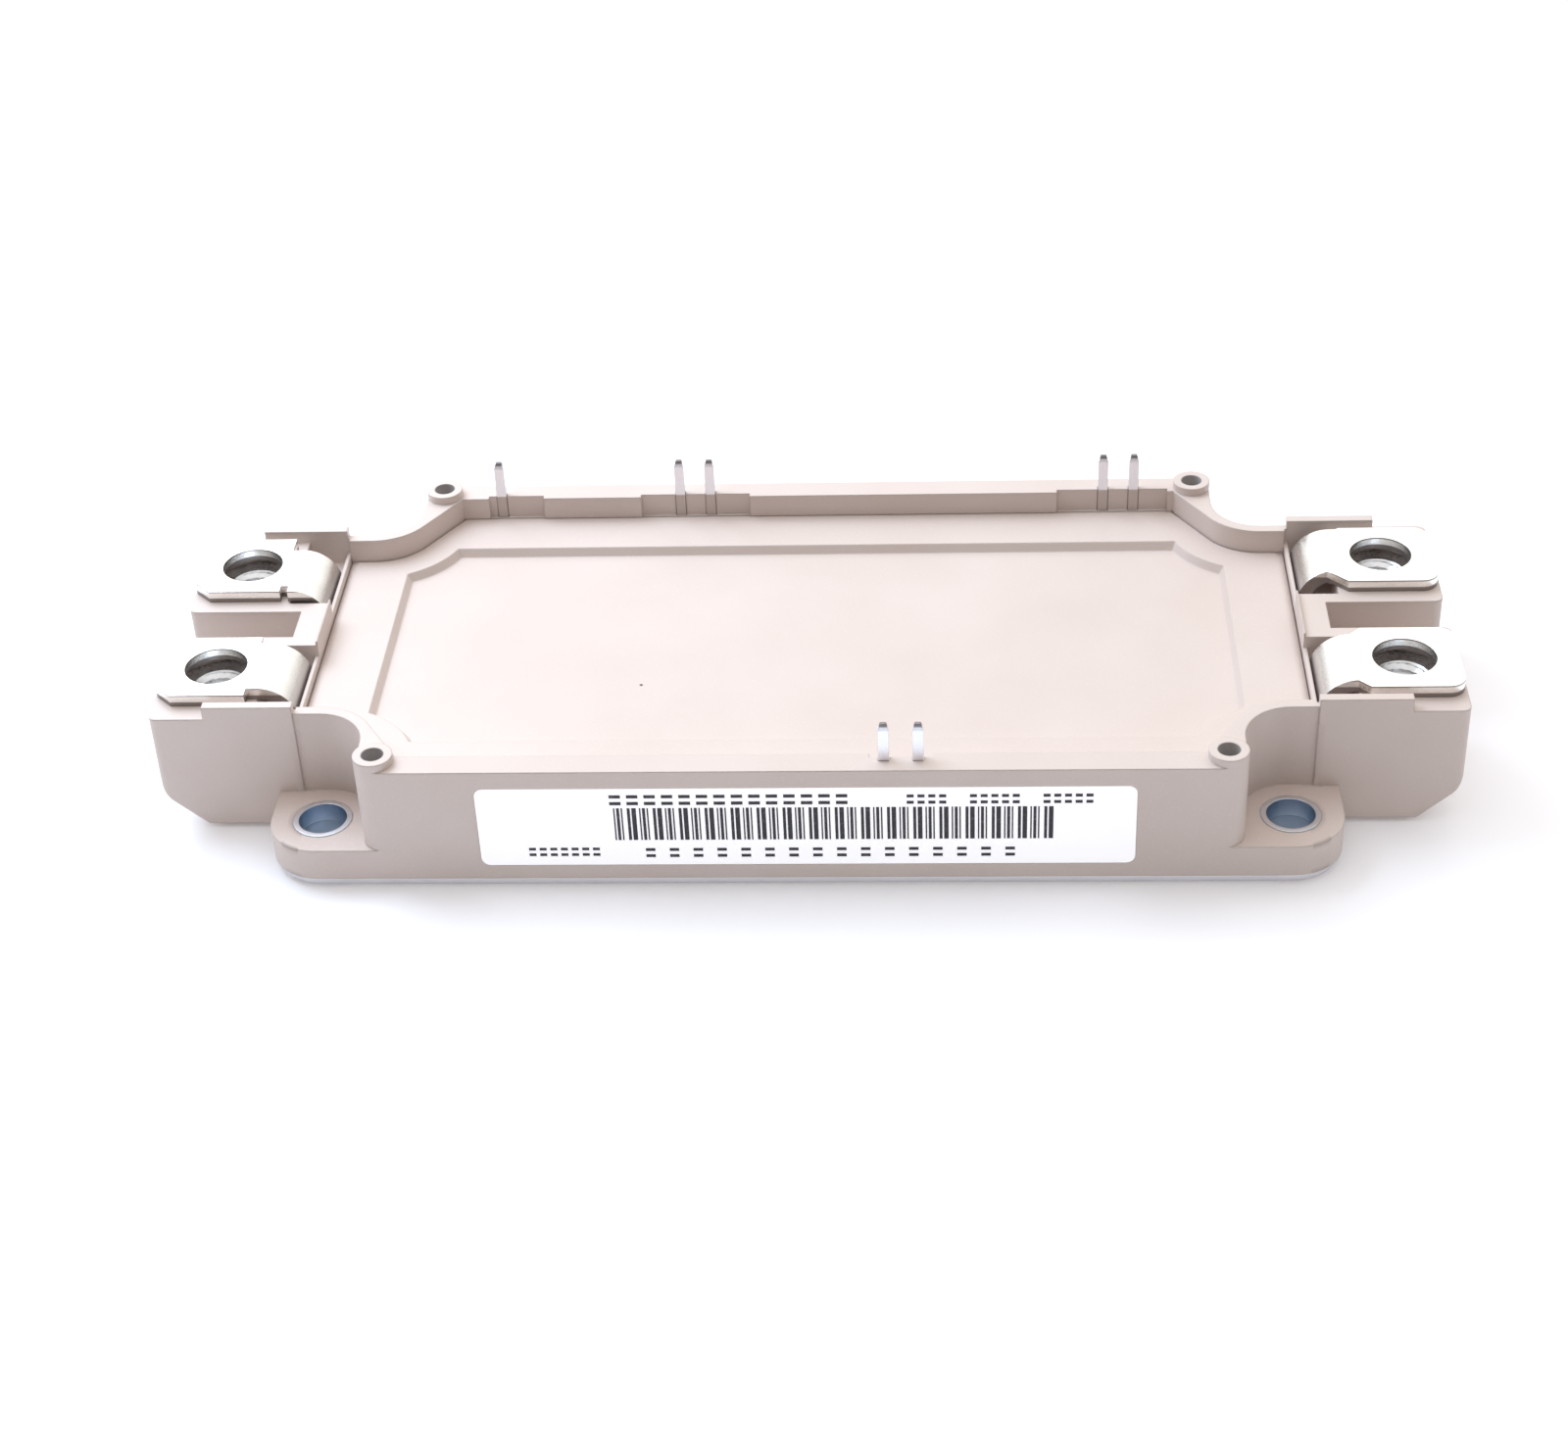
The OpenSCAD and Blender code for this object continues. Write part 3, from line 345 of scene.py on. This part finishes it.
def bright_zinc():
    """Bright zinc on turned steel: a painted highlight on level faces and painted shade on upright
    ones.
    """
    material, tree, shader = surface("bright_zinc_on_steel", Metallic=1.0, Roughness=0.3)
    turned = noise(tree, 0.3, 1.0, (0.2, 0.2, 1)).outputs["Fac"]
    clouds = noise(tree, 2.5, 2.0).outputs["Fac"]
    # Painted highlight on the level faces and painted shade on the upright ones, the bores above
    # all.
    face = blend(tree, between(tree, clouds, 0, 1), linear("EDF1F8"), linear("F6F7FB"))
    shaded_upright = blend(tree, between(tree, clouds, 0, 1), linear("B2C3D6"), linear("BFCDDD"))
    tree.links.new(blend(tree, upright(tree), face, shaded_upright), shader.inputs["Base Color"])
    tree.links.new(between(tree, turned, 0.28, 0.36), shader.inputs["Roughness"])
    bumped(tree, shader, turned, 0.002, 0.3, soft=0.15 * MM)
    return material


PIN_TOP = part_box("control_pin_1")[1][2]
PIN_ABOVE_RIM = 4.8 * MM
RIM_TOP = PIN_TOP - PIN_ABOVE_RIM
TIP_LOW, TIP_HIGH = PIN_TOP - 0.5 * MM, PIN_TOP - 0.25 * MM


def tinned_pin():
    """Tin above the rim, darker at the tip, and a skin of plastic below the rim."""
    material, tree, shader = surface("tinned_pin", Roughness=0.4)
    draw_lines = noise(tree, 0.15, 1.0, (1, 1, 0.1)).outputs["Fac"]
    tip = between(tree, rise(tree), 0, 1, TIP_LOW, TIP_HIGH)
    bare = between(tree, rise(tree), 0, 1, RIM_TOP - FADE, RIM_TOP + FADE)
    plain = blend(tree, between(tree, draw_lines, 0, 1), linear("F0F3FC"), linear("FAFBFF"))
    tipped = blend(tree, tip, plain, linear("8A8788"))
    tree.links.new(blend(tree, bare, linear("CDBFB8"), tipped), shader.inputs["Base Color"])
    tree.links.new(bare, shader.inputs["Metallic"])
    tree.links.new(between(tree, draw_lines, 0.36, 0.46), shader.inputs["Roughness"])
    bumped(tree, shader, draw_lines, 0.002, 0.3, soft=0.1 * MM)
    return material


def plated_steel_nut():
    """Plated steel whose brightness and roughness drift together."""
    material, tree, shader = surface("plated_steel_nut", Metallic=1.0, Roughness=0.3)
    clouds = noise(tree, 0.9, 2.0).outputs["Fac"]
    tint = blend(tree, between(tree, clouds, 0, 1), linear("E0E2E5"), linear("F6F7F8"))
    tree.links.new(tint, shader.inputs["Base Color"])
    tree.links.new(between(tree, clouds, 0.22, 0.38), shader.inputs["Roughness"])
    return material


base_metal = satin_nickel_plate()
zinc = bright_zinc()
pin_metal = tinned_pin()
nut_steel = plated_steel_nut()

# %% [markdown]
# The label is matt coated paper, and its print is matt too. A faint emission makes its white
# glow slightly, as painted light. Print has almost no thickness, yet a picture isn't needed for
# it: every dark field is a thin slab of its own on the label. The fields only show where print
# stands and say nothing.

# %% Label and print
def label_paper():
    """Coated paper: a fibre bump and a slight painted glow from an emission."""
    # Painted light: the emission makes the paper glow faintly, though it is no lamp.
    material, tree, shader = surface(
        "coated_label_paper",
        Roughness=0.55,
        IOR=1.5,
        Emission_Color=linear("F4F6FF"),
        Emission_Strength=0.4,
    )
    fibres = noise(tree, 0.3, 3.0).outputs["Fac"]
    tint = blend(tree, between(tree, fibres, 0, 1), linear("F4F2F1"), linear("FBFAF9"))
    tree.links.new(tint, shader.inputs["Base Color"])
    bumped(tree, shader, fibres, 0.004, 0.3)
    return material


def label_ink():
    """Matt ink, greyer where it has worn."""
    material, tree, shader = surface("black_label_ink", Roughness=0.5, IOR=1.5)
    wear = noise(tree, 0.5, 2.0).outputs["Fac"]
    tint = blend(tree, between(tree, wear, 0, 1, 0.55, 0.75), linear("2A2A30"), linear("55545C"))
    tree.links.new(tint, shader.inputs["Base Color"])
    return material


paper = label_paper()
ink = label_ink()

# %% [markdown]
# Nothing below the lid can be seen on a closed module, but each piece still has its own finish.
# The copper is bare and a little oxidised, the ceramic is sintered and chalky, the chips are
# polished silicon under a thin metal film, and the wires are soft aluminium under a clear
# silicone gel.

# %% Finishes inside
def cloudy(name, first, second, size_mm, rough, depth_mm=0.002, **values):
    """A surface whose colour and roughness drift between two values over patches of size_mm."""
    material, tree, shader = surface(name, **values)
    clouds = noise(tree, size_mm, 3.0).outputs["Fac"]
    tint = blend(tree, between(tree, clouds, 0, 1), linear(first), linear(second))
    tree.links.new(tint, shader.inputs["Base Color"])
    tree.links.new(between(tree, clouds, *rough), shader.inputs["Roughness"])
    bumped(tree, shader, noise(tree, size_mm / 8, 2.0).outputs["Fac"], depth_mm, 0.4)
    return material


copper = cloudy("bare_copper", "C98A66", "E0A582", 4.0, (0.3, 0.45), Metallic=1.0)
solder = cloudy("tin_solder", "A9A9AC", "C4C4C6", 2.0, (0.35, 0.55), 0.01, Metallic=1.0)
ceramic = cloudy("sintered_alumina", "EDECE6", "F6F5F1", 1.0, (0.6, 0.75), 0.003, IOR=1.76)
silicon = cloudy("metallised_silicon", "6C7078", "83878F", 3.0, (0.18, 0.28), 0.001, Metallic=0.8)
glaze = cloudy("glazed_thermistor", "2E2B28", "3D3935", 0.6, (0.25, 0.4), 0.003, IOR=1.52)
wire = cloudy("aluminium_wire", "CFCFD0", "DEDEDF", 0.5, (0.28, 0.4), 0.001, Metallic=1.0)
gel = cloudy(
    "clear_silicone_gel",
    "EEF3F2",
    "F5F8F7",
    6.0,
    (0.05, 0.12),
    0.01,
    IOR=1.41,
    Transmission_Weight=0.9,
)

# %% [markdown]
# Each solid carries the name of a slot, which says what it is made of. A table from slots to
# finishes dresses all of them in one loop, so that no solid is forgotten and like pieces look
# alike.

# %% Give every solid its finish
FINISHES = {
    "plastic": plastic,
    "base_metal": base_metal,
    "zinc": zinc,
    "nickel": nickel,
    "nut_steel": nut_steel,
    "pin_metal": pin_metal,
    "label": paper,
    "solder": solder,
    "copper": copper,
    "ceramic": ceramic,
    "silicon": silicon,
    "thermistor_body": glaze,
    "wire": wire,
    "gel": gel,
}
slots = {part["node"]: part["material_slot"] for part in frame["record"]["subparts"]}
for name, solid in nodes.items():
    solid.data.materials.clear()
    solid.data.materials.append(FINISHES[slots[name]])
print("finishes:", len(set(slots.values())), "on", len(nodes), "nodes")


# %% [markdown]
# Two pieces need a mesh of their own: the threaded nuts and the print. Both are arrays of points
# that are worked out at once, with quads between them. Sharp edges are found by their angle
# afterwards, so that curved stretches shade smoothly and flat ones stay crisp.

# %% Mesh helpers
def mesh_piece(name, points, faces, material, smooth_deg=30):
    """A piece from arrays of points in metres and of quads, shaded smooth up to an angle."""
    mesh = bpy.data.meshes.new(name)
    mesh.from_pydata(points.reshape(-1, 3), [], faces.reshape(-1, 4).tolist())
    mesh.materials.append(material)
    mesh.validate()
    mesh.shade_smooth()
    mesh.set_sharp_from_angle(angle=math.radians(smooth_deg))
    piece = bpy.data.objects.new(name, mesh)
    bpy.context.scene.collection.objects.link(piece)
    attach(piece, "root")
    print(f"{name}: {len(mesh.polygons)} faces")
    return piece


def ring_faces(rows, columns):
    """Quads of a grid of points that closes on itself both ways, counted row by row."""
    r, c = np.meshgrid(np.arange(rows), np.arange(columns), indexing="ij")
    next_r, next_c = (r + 1) % rows, (c + 1) % columns
    this_row, next_row = r * columns, next_r * columns
    return np.stack([this_row + c, this_row + next_c, next_row + next_c, next_row + c], -1)


# %% [markdown]
# A captive nut shows its threads through the hole of its strip, and a plain bore there looks like
# a pipe. The solid nut is therefore replaced by one closed surface. It is a grid of two
# parameters: one runs round the axis and the other goes once round the nut's section, up the six
# flats, across the top face, down the thread and back across the bottom.

# %% Nuts with threads
NUT_FLATS, NUT_FACE, NUT_CREST, NUT_ROOT, PITCH = 10.0, 9.8, 5.0, 6.1, 1.0
CHAMFER_TO, SINK_PAST_ROOT = 0.6, 0.1
AROUND, CHAMFER_STEPS, BORE_STEPS = 96, 9, 90
NUT_SHARP_DEG = 40


def nut_points(low, high, centre):
    """Points of a nut over section step and angle t: flats, faces and a helical thread.

    The hexagon's radius is flats / 2 / cos(t wrapped to 30 degrees), kept inside a 30-degree cone
    from each face. The thread's radius is the crest plus a triangle wave of (height / pitch - t /
    turn), kept outside a 45-degree countersink at each end. Sizes are in mm until the last line.
    """
    height = high - low
    t = np.linspace(0, 2 * np.pi, AROUND, endpoint=False)[None, :]
    wrapped = (t + np.pi / 6) % (np.pi / 3) - np.pi / 6
    hexagon = NUT_FLATS / 2 / np.cos(wrapped)
    chamfer = np.linspace(0, CHAMFER_TO, CHAMFER_STEPS)
    up_side = np.concatenate([chamfer, height - chamfer[::-1]])[:, None]
    end_gap = np.minimum(up_side, height - up_side)
    side_r = np.minimum(hexagon, NUT_FACE / 2 + end_gap * math.tan(math.radians(60)))
    side_z = up_side + 0 * t
    down_bore = np.linspace(height, 0, BORE_STEPS)[:, None]
    wave = 1 - np.abs(2 * ((down_bore / PITCH - t / (2 * np.pi)) % 1) - 1)
    thread = NUT_CREST / 2 + wave * (NUT_ROOT - NUT_CREST) / 2
    sink = NUT_ROOT / 2 + SINK_PAST_ROOT - np.minimum(down_bore, height - down_bore)
    bore_r = np.maximum(thread, sink)
    radius = np.concatenate([side_r, bore_r])
    z = np.concatenate([side_z, down_bore + 0 * t]) + low
    x, y = centre
    return np.stack([x + radius * np.cos(t), y + radius * np.sin(t), z], -1) * MM


def threaded_nut(node):
    low, high = (np.array(corner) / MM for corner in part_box(node))
    points = nut_points(low[2], high[2], ((low + high) / 2)[:2])
    faces = ring_faces(points.shape[0], AROUND)
    nut = mesh_piece("threaded_" + node, points, faces, nut_steel, NUT_SHARP_DEG)
    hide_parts(node)


for node in sorted(name for name in nodes if name.startswith("nut_")):
    threaded_nut(node)

# %% [markdown]
# Print on the label is thin slabs of ink: pairs of short level strokes where lines of print
# stand, and a band of bars in a plain repeating rhythm. All the slabs are one mesh, worked out
# from arrays of their left, right, lower and upper edges as shares of the label's size.

# %% Print on the label
LABEL_LOW, LABEL_HIGH = (np.array(corner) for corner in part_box("side_label"))
INK_T = 0.02 * MM
STROKE_SHARE = 0.32
CORNER_STEPS = np.array([[i, j, k] for i in (0, 1) for j in (0, 1) for k in (0, 1)])
BOX_QUADS = np.array(
    [[0, 1, 3, 2], [4, 6, 7, 5], [0, 4, 5, 1], [2, 3, 7, 6], [0, 2, 6, 4], [1, 5, 7, 3]]
)


def dashes(start, end, count, fill):
    """Left and right edges of equal dashes from start to end, each filling a share of its step."""
    step = (end - start) / count
    left = start + step * np.arange(count)
    return np.stack([left, left + step * fill], -1)


def rhythm_bars(start, end, modules=(1, 1, 2, 1, 1, 3, 2, 1, 3, 2), repeats=17):
    """Left and right edges of bars; bars and gaps take turns and their widths repeat modules."""
    widths = np.tile(modules, repeats).astype(float)
    edges = start + np.concatenate([[0], np.cumsum(widths)]) / widths.sum() * (end - start)
    return np.stack([edges[0:-1:2], edges[1::2]], -1)


def row(edges, low, high):
    """Left, right, lower and upper shares of a row of print."""
    return np.column_stack([edges, np.full(len(edges), low), np.full(len(edges), high)])


def ink_slabs(rows):
    """Eight corners of a slab for each row of shares: label corner plus share times size."""
    size = LABEL_HIGH - LABEL_LOW
    x = LABEL_LOW[0] + rows[:, 0:2] * size[0]
    z = LABEL_LOW[2] + rows[:, 2:4] * size[2]
    y = np.array([LABEL_LOW[1] - INK_T, LABEL_LOW[1] + INK_T])
    i, j, k = CORNER_STEPS.T
    return np.stack([x[:, i], np.broadcast_to(y[j], (len(rows), 8)), z[:, k]], -1)


def strokes(edges, low, high):
    """Each pair of edges twice: a stroke along the bottom of the row and one along its top."""
    thick = (high - low) * STROKE_SHARE
    return np.concatenate([row(edges, low, low + thick), row(edges, high - thick, high)])


print_rows = np.concatenate(
    [
        strokes(dashes(0.205, 0.575, 14, 0.66), 0.79, 0.92),
        strokes(dashes(0.655, 0.72, 4, 0.66), 0.79, 0.91),
        strokes(dashes(0.75, 0.83, 5, 0.66), 0.79, 0.91),
        strokes(dashes(0.86, 0.94, 5, 0.66), 0.79, 0.91),
        row(rhythm_bars(0.21, 0.88), 0.33, 0.75),
        strokes(dashes(0.255, 0.84, 16, 0.4), 0.1, 0.22),
        strokes(dashes(0.075, 0.19, 7, 0.66), 0.12, 0.23),
    ]
)
slabs = ink_slabs(print_rows)
slab_faces = BOX_QUADS[None] + 8 * np.arange(len(print_rows))[:, None, None]
mesh_piece("label_print", slabs, slab_faces, ink)

# %% [markdown]
# The floor is a plain sheet of white acrylic, lit faintly from below, and wide enough to reach
# the horizon. One large soft panel hangs behind and to the left, so every top face is bright and
# every face towards the viewer is in quiet shade. The room does the rest: a bright dome overhead,
# leaning back, and a grey back wall, because those are what the flat nickel mirrors into the
# camera.

# %% Floor, light and room
def floor_finish():
    """White acrylic with a faint even glow."""
    material, tree, shader = surface(
        "lit_white_acrylic_floor",
        Roughness=0.6,
        Emission_Color=linear("FFFFFF"),
        Emission_Strength=0.11,
    )
    tint = blend(tree, noise(tree, 60.0).outputs["Fac"], linear("F6F7FC"), linear("F8F9FD"))
    tree.links.new(tint, shader.inputs["Base Color"])
    return material


FLOOR_HALF = 20.0
floor_mesh = bpy.data.meshes.new("floor")
floor_corners = FLOOR_HALF * np.array([[-1, -1, 0], [1, -1, 0], [1, 1, 0], [-1, 1, 0]])
floor_mesh.from_pydata(floor_corners, [], [(0, 1, 2, 3)])
floor_mesh.materials.append(floor_finish())
floor = bpy.data.objects.new("floor", floor_mesh)
bpy.context.scene.collection.objects.link(floor)


def panel(name, place, size, power, colour):
    """A square area light, size metres on a side, at a place and turned to face the object."""
    light = bpy.data.lights.new(name, "AREA")
    light.size, light.energy, light.color = size, power, linear(colour)[:3]
    lamp = bpy.data.objects.new(name, light)
    inward = -np.array(place) / np.linalg.norm(place)
    side = np.cross(inward, [0, 0, 1])
    side = side / np.linalg.norm(side)
    turn = np.eye(4)
    turn[:3, :] = np.stack([side, np.cross(side, inward), -inward, place], -1)
    lamp.matrix_world = Matrix(turn.tolist())
    bpy.context.scene.collection.objects.link(lamp)
    print(f"{name}: {power} W, {np.linalg.norm(place):.2f} m away")


panel("key_panel", (-0.16, 0.1, 0.21), 0.2, 0.62, "D8EAFF")

ROOM_STRENGTH = 1.38
world = bpy.data.worlds.new("room")
world.use_nodes = True
bpy.context.scene.world = world
room = world.node_tree
background = room.nodes["Background"]
towards = add(room, "TexCoord").outputs["Generated"]


def lobe(direction, low_at, high_at, colour):
    """The colour, faded in as the dot product of ray and direction goes from low_at to high_at."""
    along = add(room, "VectorMath", {0: towards, 1: direction}, operation="DOT_PRODUCT")
    share = between(room, along.outputs["Value"], 0, 1, low_at, high_at)
    return blend(room, share, linear("000000"), linear(colour))


back_wall = lobe((0, 1, 0.2), 0.4, 1.0, "A3A3A0")
ceiling = lobe((0, 0.3, 1), 0.0, 1.04, "FFFCFA")
room.links.new(blend(room, 1.0, back_wall, ceiling, "ADD"), background.inputs["Color"])
background.inputs["Strength"].default_value = ROOM_STRENGTH
print("room strength:", ROOM_STRENGTH)

bpy.context.scene.view_settings.view_transform = "Standard"
